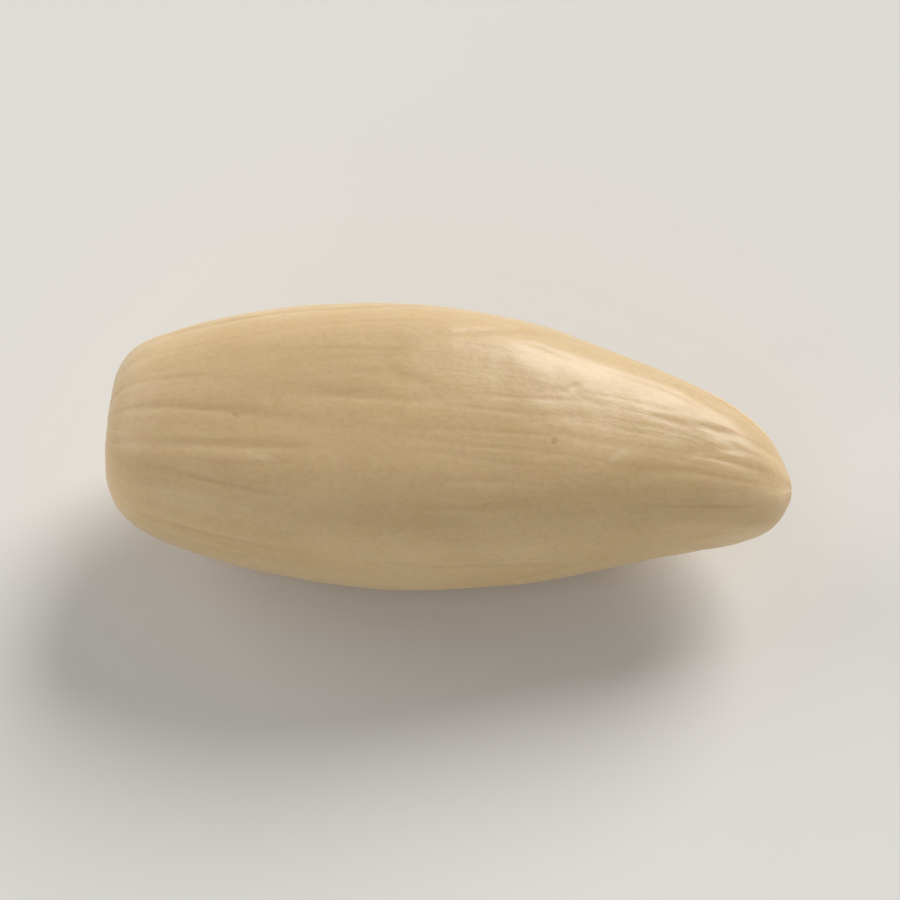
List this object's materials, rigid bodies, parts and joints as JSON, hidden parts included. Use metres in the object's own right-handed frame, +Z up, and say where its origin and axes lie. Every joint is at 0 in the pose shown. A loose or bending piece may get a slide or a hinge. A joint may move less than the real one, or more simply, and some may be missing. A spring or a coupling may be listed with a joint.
{
  "type": "pine nut kernel",
  "caption": "Shelled pine nut kernel, blunt at one end and tapered to a small turned tip at the other, with soft ridges along its length. It lies on its flatter side.",
  "frame": {"origin": "on the resting plane, under the middle of the kernel's box", "axes": "+X along the kernel from its blunt end to its tip, +Y towards its arched side, +Z up from the side it lies on"},
  "size_m": [0.0164, 0.007, 0.0057],
  "materials": {
    "kernel_flesh": "satin"
  },
  "bodies": {
    "root": {"kernel": "kernel_flesh"}
  },
  "joints": []
}
